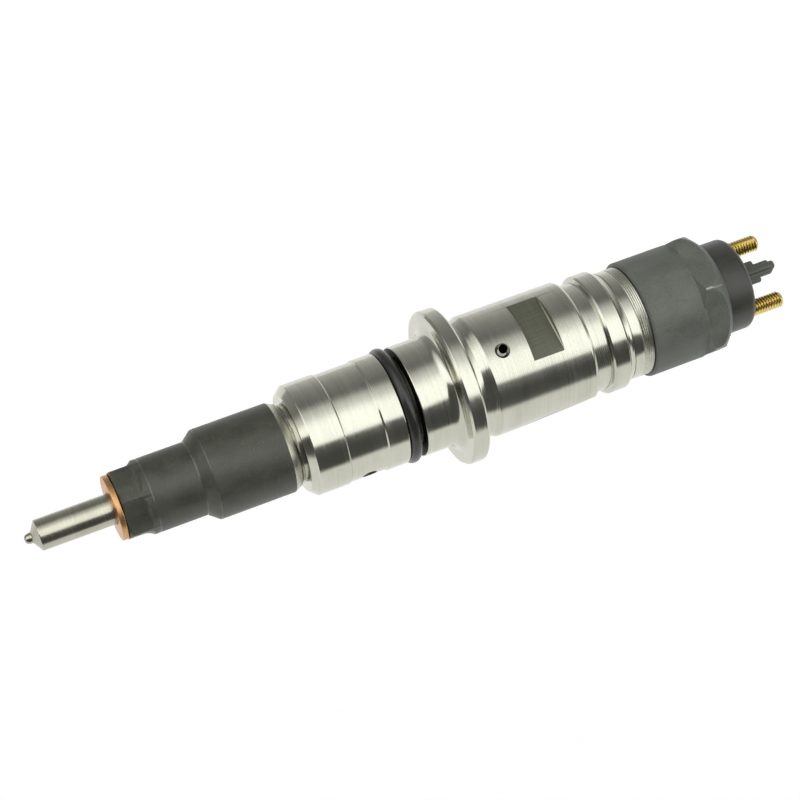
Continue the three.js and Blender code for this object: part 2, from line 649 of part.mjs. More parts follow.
const bodyEnd = group(
  piece("injector_body", injectorBody(), COLOURS.steel),
  piece("body_o_ring", bodyORing(), COLOURS.rubber),
  piece("inlet_edge_filter", inletFilter(), COLOURS.nitrided),
);

const valveGroup = group(
  piece("valve_body", valveBody(), COLOURS.nitrided),
  piece("valve_seal_ring", valveSealRing(), COLOURS.copper),
  piece("valve_ball", valveBall(), COLOURS.nitrided),
  piece("ball_holder", ballHolder(), COLOURS.nitrided),
  piece("lift_shim", liftShim(), COLOURS.steel),
  piece("armature_guide", armatureGuide(), COLOURS.nitrided),
  piece("valve_clamping_nut", valveClampingNut(), COLOURS.steel),
  piece("armature_pin", armaturePin(), COLOURS.nitrided),
  piece("armature_spring", coilSpring(SPRINGS.armature), COLOURS.spring),
  piece("armature_plate", armaturePlate(), COLOURS.nitrided),
  piece("armature_lock_washer", lockWasher(), COLOURS.steel),
);

const solenoidEnd = group(
  piece("magnet_core", magnetCore(), COLOURS.phosphate),
  piece("magnet_coil", magnetCoil(), COLOURS.winding),
  piece("magnet_sleeve", magnetSleeve(), COLOURS.steel),
  piece("valve_spring", coilSpring(SPRINGS.valve), COLOURS.spring),
  piece("spring_adjusting_shim", springShim(), COLOURS.steel),
  piece("solenoid_o_ring", solenoidORing(), COLOURS.rubber),
  piece("disc_spring", discSpring(), COLOURS.spring),
  piece("coil_lead_1", coilLead(0), COLOURS.winding),
  piece("coil_lead_2", coilLead(180), COLOURS.winding),
  piece("solenoid_nut", solenoidNut(), COLOURS.nutCoat),
  piece("terminal_cap", terminalCap(), COLOURS.moulding),
  piece("terminal_stud_1", terminalStud(), COLOURS.brass, at(STUD.head, STUD.offset, STUD.roll)),
  piece("terminal_stud_2", terminalStud(), COLOURS.brass, at(STUD.head, STUD.offset, STUD.roll + 180)),
);

export default group(nozzleEnd, bodyEnd, valveGroup, solenoidEnd);
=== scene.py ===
"""The looks of a common-rail diesel fuel injector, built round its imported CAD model.

The injector lies along +X, with its nozzle at -X, and the origin is on its axis in the plane of the flange's
seat face. A side of it is named by its roll: 0 degrees is +Z and 90 degrees is -Y. Lengths are in millimetres
until a mesh is finished, and a profile is a list of (radius, station) or (radius, station, corner radius).
"""

import json
import math

import bmesh
import bpy
from mathutils import Matrix, Vector


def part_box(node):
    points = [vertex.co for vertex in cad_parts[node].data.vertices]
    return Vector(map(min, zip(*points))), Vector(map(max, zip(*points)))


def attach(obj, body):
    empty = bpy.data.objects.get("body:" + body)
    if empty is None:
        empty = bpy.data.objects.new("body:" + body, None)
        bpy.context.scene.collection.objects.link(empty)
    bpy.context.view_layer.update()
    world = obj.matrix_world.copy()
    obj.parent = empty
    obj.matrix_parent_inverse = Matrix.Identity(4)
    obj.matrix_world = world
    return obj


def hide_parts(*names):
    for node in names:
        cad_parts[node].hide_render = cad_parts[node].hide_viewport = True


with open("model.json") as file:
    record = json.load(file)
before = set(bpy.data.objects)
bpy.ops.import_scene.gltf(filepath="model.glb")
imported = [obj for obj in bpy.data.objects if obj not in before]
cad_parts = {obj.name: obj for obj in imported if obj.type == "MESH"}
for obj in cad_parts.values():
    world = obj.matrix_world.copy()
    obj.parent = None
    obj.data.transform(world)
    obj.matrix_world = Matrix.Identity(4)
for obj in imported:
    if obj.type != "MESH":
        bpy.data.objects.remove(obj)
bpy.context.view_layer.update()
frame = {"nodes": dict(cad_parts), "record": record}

MM = 0.001
FINE, MEDIUM, SMALL = 192, 96, 48  # facets round a piece, by its size
CORNER_STEPS = 4
BESIDE = 0.05  # a ring this far beside a rounded corner keeps the long faces' shading straight
CORNER_SHARE, RING_SHARE = 0.48, 0.49  # the most of a stretch that a corner, or its ring, reaches along
SHARP = math.radians(34)  # faces that meet at a wider angle keep a crisp edge
WELD = 1e-7  # vertices closer than this, in metres, are one

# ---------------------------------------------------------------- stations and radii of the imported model


def node_range(node):
    """The first and last station of a CAD node, in millimetres."""
    low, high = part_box(node)
    return low.x / MM, high.x / MM


def node_radius(node):
    low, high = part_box(node)
    return (high.z - low.z) / 2 / MM


NOZZLE_TIP, NOZZLE_TOP = node_range("nozzle_body")
WASHER_FRONT, WASHER_BACK = node_range("sealing_washer")
NUT_FRONT, NUT_BACK = node_range("nozzle_nut")
BODY_START, BODY_TOP = node_range("injector_body")
SOLENOID_NUT_START, SOLENOID_NUT_END = node_range("solenoid_nut")
CAP_START, POST_TIP = node_range("terminal_cap")
STUD_HEAD, STUD_TIP = node_range("terminal_stud_1")
O_RING_START, O_RING_END = node_range("body_o_ring")

NOZZLE_R = 7.15  # the collar that the nozzle nut pulls on
SHANK_R = 3.55
COLLAR_X = -75.0
NUT_BARREL_R, NUT_BARREL_END = 10.5, -39.45  # the large barrel of the nozzle nut
NUT_CONE_START, NUT_CONE_END = -59.45, -57.0
BODY_R = 13.0  # the part that sits in the cylinder head
HEAD_FACE = -36.3  # the step at its front
BODY_NOSE_END, THREAD_R = -55.8, 9.25
THREAD_START, THREAD_END = -38.9, HEAD_FACE - 0.5
FLANGE_R, FLANGE_THICKNESS = 18.3, 4.0
UPPER_R, UPPER_END = 14.45, 33.15
WAIST_R = 12.95
COLLAR_R, COLLAR_START, COLLAR_END = 14.2, 37.1, 41.05
TOP_THREAD_START, TOP_THREAD_END = 45.2, 47.7
GROOVE_START, GROOVE_END, GROOVE_R = -13.05, -8.85, 10.4
HEX_ROLL = 34  # roll of one corner of both hexagons
STUD_ROLL, STUD_OFFSET, STUD_R = 116.7, 7.28, 1.95
DRILLINGS_X, INLET_ROLL, DRAIN_ROLL = -22.6, 205, 115
INLET_SEAT = 9.3  # how far from the axis the cone of the inlet starts
CAP_R, CAP_END, CAP_CORNER = 10.9, 75.65, 1.6

# ---------------------------------------------------------------- mesh helpers


def radial(roll):
    """The direction away from the axis at a roll in degrees."""
    return Vector((0, -math.sin(math.radians(roll)), math.cos(math.radians(roll))))


def outwards(x, roll):
    """Turns +X away from the axis at a roll, and moves the origin to a station on the axis."""
    turn = Vector((1, 0, 0)).rotation_difference(radial(roll)).to_matrix().to_4x4()
    return Matrix.Translation((x, 0, 0)) @ turn


def softened(profile):
    """The profile with its rounded corners filled in. A corner of three numbers has a radius."""
    points = []
    count = len(profile)
    for i, corner in enumerate(profile):
        here = Vector(corner[:2])
        if len(corner) == 2:
            points.append(here)
            continue
        before = Vector(profile[i - 1][:2]) - here
        after = Vector(profile[(i + 1) % count][:2]) - here
        half = before.angle(after) / 2
        longest = CORNER_SHARE * min(before.length, after.length)
        reach = min(corner[2] / math.tan(half), longest)
        start = here + before.normalized() * reach
        end = here + after.normalized() * reach
        if reach + BESIDE < RING_SHARE * before.length:
            points.append(here + before.normalized() * (reach + BESIDE))
        for step in range(CORNER_STEPS + 1):
            t = step / CORNER_STEPS
            points.append(start * (1 - t) ** 2 + here * 2 * t * (1 - t) + end * t**2)
        if reach + BESIDE < RING_SHARE * after.length:
            points.append(here + after.normalized() * (reach + BESIDE))
    return points


def arc(centre_r, centre_x, radius, start, end, steps=8):
    """Profile points on an arc, from one angle to another in degrees. Angle 0 points away from the axis."""
    angles = [math.radians(start + (end - start) * i / steps) for i in range(steps + 1)]
    return [(centre_r + radius * math.cos(a), centre_x + radius * math.sin(a)) for a in angles]


def run(radius, start, end, step):
    """Profile points along a straight stretch, close enough together to carry a thread."""
    count = max(1, round(abs(end - start) / step))
    return [(radius, start + (end - start) * i / count) for i in range(count + 1)]


class Thread:
    """A screw thread between two stations, cut where the profile is at least r_min from the axis."""

    def __init__(self, start, end, pitch, depth, r_min, runout):
        self.start, self.end, self.pitch, self.depth = start, end, pitch, depth
        self.r_min, self.runout = r_min, runout

    def dent(self, radius, x, turn):
        """How deep the thread is at a station and at a share of a turn."""
        if radius < self.r_min or not self.start < x < self.end:
            return 0.0
        wave = abs(2 * ((x / self.pitch - turn) % 1.0) - 1)
        steepness, crest = 1.3, 0.15
        form = min(1.0, max(0.0, steepness * wave - crest))
        fade = min(1.0, (x - self.start) / self.runout, (self.end - x) / self.runout)
        return self.depth * form * fade


def lathe(profile, facets, threads=()):
    """A bmesh turned about +X. A profile with both ends on the axis makes a solid, and any other a ring."""
    points = softened(profile)
    solid = points[0][0] == 0 and points[-1][0] == 0
    bm = bmesh.new()
    rings = []
    for radius, x in points:
        if radius == 0:
            rings.append([bm.verts.new((x, 0, 0))] * facets)  # one vertex, on the axis
            continue
        ring = []
        for i in range(facets):
            turn = i / facets
            r = radius - sum(thread.dent(radius, x, turn) for thread in threads)
            ring.append(bm.verts.new(Vector((x, 0, 0)) + radial(360 * turn) * r))
        rings.append(ring)
    pairs = list(zip(rings, rings[1:]))
    if not solid:
        pairs.append((rings[-1], rings[0]))
    for first, second in pairs:
        for i in range(facets):
            j = (i + 1) % facets
            corners = [first[i], first[j], second[j], second[i]]
            face = list(dict.fromkeys(corners))
            if len(face) > 2:
                bm.faces.new(face)
    bmesh.ops.recalc_face_normals(bm, faces=bm.faces)
    return bm


def walled(bm, ends):
    """Finishes a bar by the side faces between its two end outlines."""
    count = len(ends[0])
    for i in range(count):
        j = (i + 1) % count
        bm.faces.new([ends[0][i], ends[0][j], ends[1][j], ends[1][i]])
    bmesh.ops.recalc_face_normals(bm, faces=bm.faces)
    return bm


def prism(outline, width, roll):
    """A bmesh with an outline of (distance from the axis, station), swept sideways by a width."""
    bm = bmesh.new()
    side = radial(roll + 90) * (width / 2)
    ends = []
    for sign in (-1, 1):
        corners = [Vector((x, 0, 0)) + radial(roll) * distance + side * sign for distance, x in outline]
        ends.append([bm.verts.new(corner) for corner in corners])
        bm.faces.new(ends[-1])
    return walled(bm, ends)


def hexagon_bar(across_flats, start, end, corner_radius):
    """A hexagonal bar along the axis, its long edges rounded, with one corner at HEX_ROLL."""
    corner_r = across_flats / math.sqrt(3)
    corners = [radial(HEX_ROLL + 60 * i) * corner_r for i in range(6)]
    outline = softened([(c.y, c.z, corner_radius) for c in corners])
    bm = bmesh.new()
    ends = [[bm.verts.new((x, y, z)) for y, z in outline] for x in (start, end)]
    for ring in ends:
        bm.faces.new(ring)
    return walled(bm, ends)


def block(start, end, width, depth, roll, edge, aside):
    """A bar along the axis with rounded edges, deep in the direction of its roll and moved aside from it."""
    bm = bmesh.new()
    bmesh.ops.create_cube(bm, size=1)
    scale = Matrix.Diagonal((end - start, width, depth, 1))
    turn = Matrix.Rotation(math.radians(roll), 4, "X")
    place = turn @ Matrix.Translation(((start + end) / 2, aside, 0))
    bmesh.ops.transform(bm, matrix=scale, verts=bm.verts)
    bmesh.ops.bevel(bm, geom=bm.edges[:], offset=edge, segments=4, profile=0.5, affect="EDGES")
    bmesh.ops.transform(bm, matrix=place, verts=bm.verts)
    return bm


def placed(bm, matrix):
    """A bmesh moved by a matrix."""
    bmesh.ops.transform(bm, matrix=matrix, verts=bm.verts)
    bmesh.ops.recalc_face_normals(bm, faces=bm.faces)
    return bm


def made(name, bm, material):
    """An object, in metres, from a bmesh in millimetres."""
    mesh = bpy.data.meshes.new(name)
    bmesh.ops.scale(bm, vec=(MM, MM, MM), verts=bm.verts)
    bm.to_mesh(mesh)
    bm.free()
    mesh.materials.append(material)
    piece = bpy.data.objects.new(name, mesh)
    bpy.context.scene.collection.objects.link(piece)
    return piece


def combined(piece, tools, operation="DIFFERENCE"):
    """Applies boolean tools, each (bmesh, material), to a piece. A face that one leaves has its material."""
    for number, (bm, material) in enumerate(tools):
        tool = made(f"{piece.name}_tool_{number}", bm, material)
        modifier = piece.modifiers.new("tool", "BOOLEAN")
        modifier.object = tool
        modifier.operation = operation
        modifier.solver = "EXACT"
        modifier.material_mode = "TRANSFER"
        evaluated = piece.evaluated_get(bpy.context.evaluated_depsgraph_get())
        mesh = bpy.data.meshes.new_from_object(evaluated)
        piece.modifiers.clear()
        piece.data = mesh
        bpy.data.objects.remove(tool)
    piece.data.name = piece.name
    return piece


def painted(piece, material, chosen):
    """Gives faces a material of their own. chosen(station, radius, roll) says which, by their middles."""
    piece.data.materials.append(material)
    number = len(piece.data.materials) - 1
    for face in piece.data.polygons:
        x, y, z = face.center / MM
        if chosen(x, math.hypot(y, z), math.degrees(math.atan2(-y, z))):
            face.material_index = number


def shaded(piece):
    """Smooth shading, with crisp edges where faces meet at a wide angle."""
    bm = bmesh.new()
    bm.from_mesh(piece.data)
    bmesh.ops.remove_doubles(bm, verts=bm.verts, dist=WELD)
    for face in bm.faces:
        face.smooth = True
    for edge in bm.edges:
        edge.smooth = edge.is_manifold and edge.calc_face_angle(0) < SHARP
    bm.to_mesh(piece.data)
    bm.free()
    return piece


def stands_for(piece, node):
    """Finishes a rebuilt piece, puts it in its CAD node's place and stops if it left the node's space."""
    shaded(piece)
    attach(piece, "body")
    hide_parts(node)
    low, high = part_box(node)
    slack = 0.35 * MM
    for corner in piece.bound_box:
        for i in range(3):
            if not low[i] - slack <= corner[i] <= high[i] + slack:
                raise RuntimeError(f"{piece.name} is outside the space of {node}: {tuple(corner)}")
    return piece


# ---------------------------------------------------------------- node helpers


class Graph:
    """Short ways to add and join shader nodes."""

    def __init__(self, tree):
        self.nodes, self.links = tree.nodes, tree.links

    def feed(self, socket, value):
        """Gives an input a number, a colour or another node's output."""
        if isinstance(value, bpy.types.NodeSocket):
            self.links.new(value, socket)
        else:
            socket.default_value = value

    def add(self, kind, values=None, **settings):
        """A node of a kind, with its settings and the values of its inputs by name."""
        node = self.nodes.new(kind)
        for name, value in settings.items():
            setattr(node, name, value)
        for name, value in (values or {}).items():
            self.feed(node.inputs[name], value)
        return node

    def place(self, scale=(1, 1, 1)):
        """The piece's own coordinates in metres, times a scale for each axis."""
        coordinates = self.add("ShaderNodeTexCoord").outputs["Object"]
        return self.add("ShaderNodeMapping", {"Vector": coordinates, "Scale": scale}).outputs["Vector"]

    def noise(self, size, stretch=(1, 1, 1), detail=3.0):
        """Noise whose patches are about this many millimetres across, stretched along each axis."""
        scale = [1 / (size * MM * s) for s in stretch]
        values = {"Vector": self.place(scale), "Scale": 1.0, "Detail": detail}
        return self.add("ShaderNodeTexNoise", values).outputs["Fac"]

    def math(self, operation, first, second=0.0):
        node = self.add("ShaderNodeMath", operation=operation)
        self.feed(node.inputs[0], first)
        self.feed(node.inputs[1], second)
        return node.outputs[0]

    def ranged(self, value, low, high, from_low=0.0, from_high=1.0):
        """A value moved from one range to the range from low to high, and kept inside it."""
        values = {"Value": value, "From Min": from_low, "From Max": from_high, "To Min": low, "To Max": high}
        return self.add("ShaderNodeMapRange", values).outputs["Result"]

    def ramp(self, value, *stops):
        """Colours at places from 0 to 1."""
        node = self.add("ShaderNodeValToRGB", {"Fac": value})
        elements = node.color_ramp.elements
        while len(elements) < len(stops):
            elements.new(0.5)
        for element, (position, colour) in zip(elements, stops):
            element.position = position
            element.color = (*colour, 1)
        return node.outputs["Color"]

    def blend(self, share, colour, other):
        """A colour mixed with another, plain one. The Mix node's colour sockets have numbers only."""
        node = self.add("ShaderNodeMix", data_type="RGBA")
        self.feed(node.inputs[0], share)
        self.feed(node.inputs[6], colour)
        self.feed(node.inputs[7], (*other, 1))
        return node.outputs[2]

    def bump(self, height, depth):
        """Bumps of a depth in millimetres from a height between 0 and 1."""
        values = {"Height": height, "Distance": depth * MM, "Strength": 1.0}
        return self.add("ShaderNodeBump", values).outputs["Normal"]


def new_material(name, fill, **fixed):
    """A Principled material. fixed sets sockets to plain numbers, and fill(graph) gives the linked ones."""
    material = bpy.data.materials.new(name)
    material.use_nodes = True
    shader = material.node_tree.nodes["Principled BSDF"]
    for socket, value in fixed.items():
        shader.inputs[socket.replace("_", " ").title().replace("Ior", "IOR")].default_value = value
    graph = Graph(material.node_tree)
    for socket, output in fill(graph).items():
        graph.links.new(output, shader.inputs[socket])
    return material


def tones(graph, value, dark, light):
    """A dark tone below 0.3, a light one above 0.7 and their mixtures between."""
    return graph.ramp(value, (0.3, dark), (0.7, light))


# ---------------------------------------------------------------- materials

# BARE is also the lighter tone of the painted highlight on the nozzle nut's rings.
BARE = (0.50, 0.50, 0.44)  # steel where a coating is rubbed off
WAVE_UNIT = 0.314  # the length that a wave texture of scale 1 repeats over
NUT_WEAR_AND_GLINTS = (
    # (station, half its width): rings of the nozzle nut where its coating is worn, made a little lighter,
    # which is partly a painted highlight for the glints on its edges
    (-70.6, 0.16), (NUT_CONE_START - 0.15, 0.14), (NUT_CONE_END, 0.10),
)


def mixture(graph, *parts):
    """The weighted sum of (value, weight) pairs."""
    total = 0.0
    for value, weight in parts:
        total = graph.math("ADD", graph.math("MULTIPLY", value, weight), total)
    return total


def steel(name, dark, light, pitch, depth, smooth, rough, drift=4.0, ticks=0.0):
    """Turned metal: random rings, soft patches, a speckle of stains and perhaps even feed marks.

    The rings are pitch apart and depth deep, the patches drift across and the feed marks ticks apart, in
    millimetres. Its roughness lies between smooth and rough.
    """

    def fill(graph):
        feed = graph.noise(pitch, (1, 60, 60), 1.0)
        fine = graph.noise(pitch * 0.35, (1, 90, 90), 2.0)
        patches = graph.noise(drift, (1, 3, 3), 3.0)
        speckle = graph.noise(0.3, detail=3.0)
        rings = mixture(graph, (feed, 0.7), (fine, 0.3))
        colour = mixture(graph, (rings, 0.35), (patches, 0.35), (speckle, 0.3))
        finish = mixture(graph, (rings, 0.5), (patches, 0.3), (speckle, 0.2))
        if ticks:
            values = {"Vector": graph.place(), "Scale": WAVE_UNIT / (ticks * MM)}
            marks = graph.add("ShaderNodeTexWave", values, bands_direction="X").outputs["Fac"]
            finish = mixture(graph, (finish, 0.6), (marks, 0.4))
        return {
            "Base Color": tones(graph, colour, dark, light),
            "Roughness": graph.ranged(finish, smooth, rough, 0.35, 0.65),
            "Normal": graph.bump(rings, depth),
        }

    return new_material(name, fill, metallic=1.0)


def coated(name, dark, light, grain, depth, smooth, rough, worn=None, worn_and_glint_rings=(), **fixed):
    """A dull coating with crystals as large as its grain, worn in soft patches, and on rings that are worn
    and lighter, which is partly a painted highlight.
    """

    def fill(graph):
        crystals = graph.noise(grain, detail=4.0)
        clouds = graph.noise(grain * 14, (1.5, 1, 1), 4.0)
        mixed = mixture(graph, (crystals, 0.55), (clouds, 0.45))
        colour = tones(graph, mixed, dark, light)
        if worn:
            scuffs = graph.noise(grain * 5, (0.4, 2.5, 2.5), 5.0)
            colour = graph.blend(graph.ranged(scuffs, 0.0, 0.6, 0.62, 0.8), colour, worn)
        roughness = graph.ranged(mixed, smooth, rough, 0.3, 0.7)
        station = graph.add("ShaderNodeSeparateXYZ", {"Vector": graph.place((1 / MM,) * 3)}).outputs["X"]
        for middle, half in worn_and_glint_rings:
            away = graph.math("ABSOLUTE", graph.math("SUBTRACT", station, middle))
            ragged = mixture(graph, (away, 1.0), (crystals, half))
            worn_and_glint = graph.ranged(ragged, 1.0, 0.0, half, half * 1.6)
            # partly a painted highlight: each ring is a little lighter, for the glint of its edge as well as
            # the worn coating
            colour = graph.blend(graph.math("MULTIPLY", worn_and_glint, 0.1), colour, BARE)
            roughness = graph.math("SUBTRACT", roughness, graph.math("MULTIPLY", worn_and_glint, 0.25))
        return {
            "Base Color": colour,
            "Roughness": roughness,
            "Normal": graph.bump(crystals, depth),
        }

    return new_material(name, fill, **fixed)


def rubber():
    """Black rubber with a film of oil on it and a little dust."""

    def fill(graph):
        flow = graph.noise(2.2, (1, 3, 3), 3.0)
        dust = graph.noise(0.12, detail=2.0)
        return {
            "Base Color": tones(graph, dust, (0.012, 0.012, 0.010), (0.030, 0.030, 0.026)),
            "Roughness": graph.ranged(flow, 0.2, 0.34),
            "Normal": graph.bump(dust, 0.004),
        }

    return new_material("rubber", fill)


def moulding(name, dark, light):
    """Glass-filled plastic, with a fine grain and soft flow marks along the axis."""

    def fill(graph):
        grain = graph.noise(0.22, detail=3.0)
        flow = graph.noise(3.0, (2.5, 1, 1), 4.0)
        mixed = mixture(graph, (grain, 0.5), (flow, 0.5))
        return {
            "Base Color": tones(graph, mixed, dark, light),
            "Roughness": graph.ranged(mixed, 0.3, 0.44, 0.3, 0.7),
            "Normal": graph.bump(grain, 0.012),
        }

    return new_material(name, fill)


def milled():
    """The face that a side mill leaves: faint crossing scratches and a dull grey-olive sheen."""

    def fill(graph):
        across = graph.noise(0.35, (30, 1, 1), 3.0)
        along = graph.noise(0.5, (1, 20, 20), 2.0)
        mixed = mixture(graph, (across, 0.6), (along, 0.4))
        return {
            "Base Color": tones(graph, mixed, (0.095, 0.098, 0.068), (0.150, 0.153, 0.112)),
            "Roughness": graph.ranged(mixed, 0.42, 0.6, 0.3, 0.7),
            "Normal": graph.bump(mixed, 0.01),
        }

    return new_material("milled_steel", fill, metallic=0.35)


def winding():
    """Enamelled copper wire, laid in turns along the axis."""

    def fill(graph):
        wire = 0.3
        values = {"Vector": graph.place(), "Scale": WAVE_UNIT / (wire * MM)}
        turns = graph.add("ShaderNodeTexWave", values, bands_direction="X").outputs["Fac"]
        return {
            "Base Color": tones(graph, turns, (0.20, 0.06, 0.03), (0.52, 0.20, 0.09)),
            "Roughness": graph.ranged(graph.noise(1.0), 0.3, 0.5),
            "Normal": graph.bump(turns, 0.06),
        }

    return new_material("winding", fill, metallic=0.8)


NOZZLE_STEEL = steel(
    "nozzle_steel", (0.37, 0.36, 0.28), (0.53, 0.52, 0.43),
    pitch=0.3, depth=0.0008, smooth=0.16, rough=0.26,
)
COPPER = steel(
    "copper", (0.42, 0.21, 0.09), (0.74, 0.43, 0.18),
    pitch=0.3, depth=0.002, smooth=0.26, rough=0.42, drift=1.2,
)
PHOSPHATE = coated(
    "phosphate_black", (0.030, 0.032, 0.022), (0.088, 0.092, 0.068),
    grain=0.24, depth=0.02, smooth=0.36, rough=0.52, worn=(0.13, 0.13, 0.11), worn_and_glint_rings=NUT_WEAR_AND_GLINTS,
    metallic=0.3, specular_ior_level=0.7,
)
TURNED_STEEL = steel(
    "turned_steel", (0.46, 0.46, 0.385), (0.62, 0.62, 0.53),
    pitch=0.45, depth=0.0012, smooth=0.10, rough=0.2,
)
TICKED_STEEL = steel(
    "ticked_steel", (0.44, 0.44, 0.37), (0.63, 0.63, 0.54),
    pitch=0.45, depth=0.0012, smooth=0.09, rough=0.24, ticks=0.45,
)
THREAD_STEEL = steel(
    "thread_steel", (0.46, 0.46, 0.38), (0.58, 0.58, 0.50),
    pitch=3.0, depth=0.0005, smooth=0.24, rough=0.32,
)
BARE_STEEL = steel(
    "bare_steel", (0.34, 0.34, 0.28), (0.58, 0.58, 0.50),
    pitch=0.62, depth=0.012, smooth=0.2, rough=0.34,
)
# Dark steel that is painted shade, for the O-ring groove's floor and the vent's deep drilling, where shade
# falls.
PAINTED_SHADE_STEEL = steel(
    "painted_shade_steel", (0.035, 0.035, 0.025), (0.085, 0.085, 0.065),
    pitch=0.3, depth=0.002, smooth=0.4, rough=0.5,
)
HARDENED = steel(
    "hardened_steel", (0.30, 0.31, 0.32), (0.44, 0.45, 0.46),
    pitch=0.15, depth=0.001, smooth=0.16, rough=0.26,
)
SPRING_STEEL = steel(
    "spring_steel", (0.34, 0.35, 0.36), (0.5, 0.5, 0.51),
    pitch=0.6, depth=0.002, smooth=0.22, rough=0.36,
)
RUBBER = rubber()
NUT_COATING = coated(
    "nut_coating", (0.076, 0.084, 0.066), (0.165, 0.178, 0.150),
    grain=0.3, depth=0.02, smooth=0.46, rough=0.66, metallic=0.25, specular_ior_level=0.7,
)
# Steel showing through the coating: worn edges, and partly a painted highlight for the glints along the
# hexagon's corners and the rim at the nut's end.
WORN_AND_GLINT_COATING = steel(
    "worn_and_glint_coating", (0.16, 0.17, 0.14), (0.34, 0.35, 0.30),
    pitch=0.3, depth=0.004, smooth=0.28, rough=0.42,
)
MOULDING = moulding("moulding", (0.030, 0.030, 0.025), (0.056, 0.056, 0.047))
# A paler copy of the same moulding, painted light for the light that the post and its gussets catch.
PAINTED_LIGHT_MOULDING = moulding("painted_light_moulding", (0.062, 0.068, 0.056), (0.100, 0.108, 0.090))
MAGNET_IRON = coated(
    "magnet_iron", (0.08, 0.08, 0.08), (0.17, 0.17, 0.16),
    grain=0.12, depth=0.01, smooth=0.4, rough=0.6, metallic=0.7,
)
WINDING = winding()
BRASS = steel(
    "terminal_brass", (0.58, 0.43, 0.11), (0.82, 0.66, 0.24),
    pitch=0.25, depth=0.002, smooth=0.16, rough=0.28, drift=1.5,
)
MILLED = milled()

MATERIALS = {
    "nozzle_steel": NOZZLE_STEEL, "copper": COPPER, "phosphate_black": PHOSPHATE,
    "turned_steel": TURNED_STEEL, "hardened_steel": HARDENED, "spring_steel": SPRING_STEEL,
    "rubber": RUBBER, "nut_coating": NUT_COATING, "moulding": MOULDING, "magnet_iron": MAGNET_IRON,
    "winding": WINDING, "terminal_brass": BRASS,
}

# ---------------------------------------------------------------- nozzle end


def nozzle_body():
    """The hardened nozzle: a sac tip with its spray holes, a ground shank and the collar inside the nut."""
    tip, top = NOZZLE_TIP, NOZZLE_TOP
    nose_r, cone_start, cone_end = 0.95, tip + 1.78, tip + 3.1
    bore_r, seat_x, sac_r, sac_x = 1.75, -95.2, 0.5, -97.4
    gallery_r, gallery_front, gallery_back = 3.2, -71.2, -68.7
    guide_r = 2.05
    hole_r, hole_end, hole_aim, hole_count = 0.09, 1.6, math.radians(12), 8
    profile = [
        (0, tip), *arc(0.2, tip + nose_r, nose_r, -80, -10), (1.25, tip + 1.6), (1.45, cone_start, 0.3),
        (SHANK_R, cone_end, 0.25), (SHANK_R, COLLAR_X, 0.3), (NOZZLE_R, COLLAR_X, 0.3),
        (NOZZLE_R, top, 0.2), (guide_r, top, 0.1), (guide_r, gallery_back + 0.7),
        (gallery_r, gallery_back, 0.3), (gallery_r, gallery_front, 0.3),
        (bore_r, gallery_front - 1.4), (bore_r, seat_x), (sac_r, sac_x), (0, sac_x),
    ]
    piece = made("nozzle_body_fine", lathe(profile, MEDIUM), NOZZLE_STEEL)
    holes = []
    for i in range(hole_count):
        roll = 360 / hole_count * (i + 0.5)
        aim = outwards(tip + 0.9, roll) @ Matrix.Rotation(hole_aim, 4, "Y")
        drill = [(0, 0.2), (hole_r, 0.2), (hole_r, hole_end), (0, hole_end)]
        holes.append((placed(lathe(drill, 10), aim), MILLED))
    return stands_for(combined(piece, holes), "nozzle_body")


def sealing_washer():
    """The copper washer round the shank, its edges rounded."""
    inner, outer = SHANK_R + 0.2, node_radius("sealing_washer")
    edge = 0.25
    profile = [
        (inner, WASHER_FRONT, edge), (outer, WASHER_FRONT, edge),
        (outer, WASHER_BACK, edge), (inner, WASHER_BACK, edge),
    ]
    return stands_for(made("sealing_washer_fine", lathe(profile, MEDIUM), COPPER), "sealing_washer")


def nozzle_nut():
    """The nozzle nut: a small barrel with a milled hexagon at its front, a cone and the large barrel."""
    small, large = 8.55, NUT_BARREL_R
    gap = 0.2  # to the nozzle, and to the body's thread
    bore, cavity_end = THREAD_R + gap, -56.0
    profile = [
        (small - 0.45, NUT_FRONT, 0.15), (small, NUT_FRONT + 0.5, 0.15),
        (small, -69.6),  # a ring that keeps the barrel's shading straight, clear of the hexagon
        (small, NUT_CONE_START, 0.9),
        (large, NUT_CONE_END, 0.4), (large, NUT_BARREL_END, 0.12),
        (9.65, NUT_BACK, 0.12), (bore, NUT_BACK, 0.1),
        (bore, cavity_end), (NOZZLE_R + gap, cavity_end), (NOZZLE_R + gap, COLLAR_X - 0.3),
        (SHANK_R + gap, COLLAR_X - 0.3), (SHANK_R + gap, NUT_FRONT, 0.15),
    ]
    piece = made("nozzle_nut_fine", lathe(profile, FINE), PHOSPHATE)
    flat_r, hex_end, runout = 7.5, -73.75, 2.6
    before, beyond = NUT_FRONT - 1, small + 3
    curve = [math.radians(12 * i) for i in range(1, 8)]
    outline = [(flat_r, before), (flat_r, hex_end)]
    outline += [(flat_r + runout * (1 - math.cos(a)), hex_end + runout * math.sin(a)) for a in curve]
    outline += [(beyond, outline[-1][1]), (beyond, before)]
    flats = [(prism(outline, 2.4 * small, HEX_ROLL + 30 + 60 * i), PHOSPHATE) for i in range(6)]
    combined(piece, flats)
    painted(piece, BARE_STEEL, lambda x, r, roll: x > NUT_BARREL_END - 0.02)
    return stands_for(piece, "nozzle_nut")


# ---------------------------------------------------------------- body


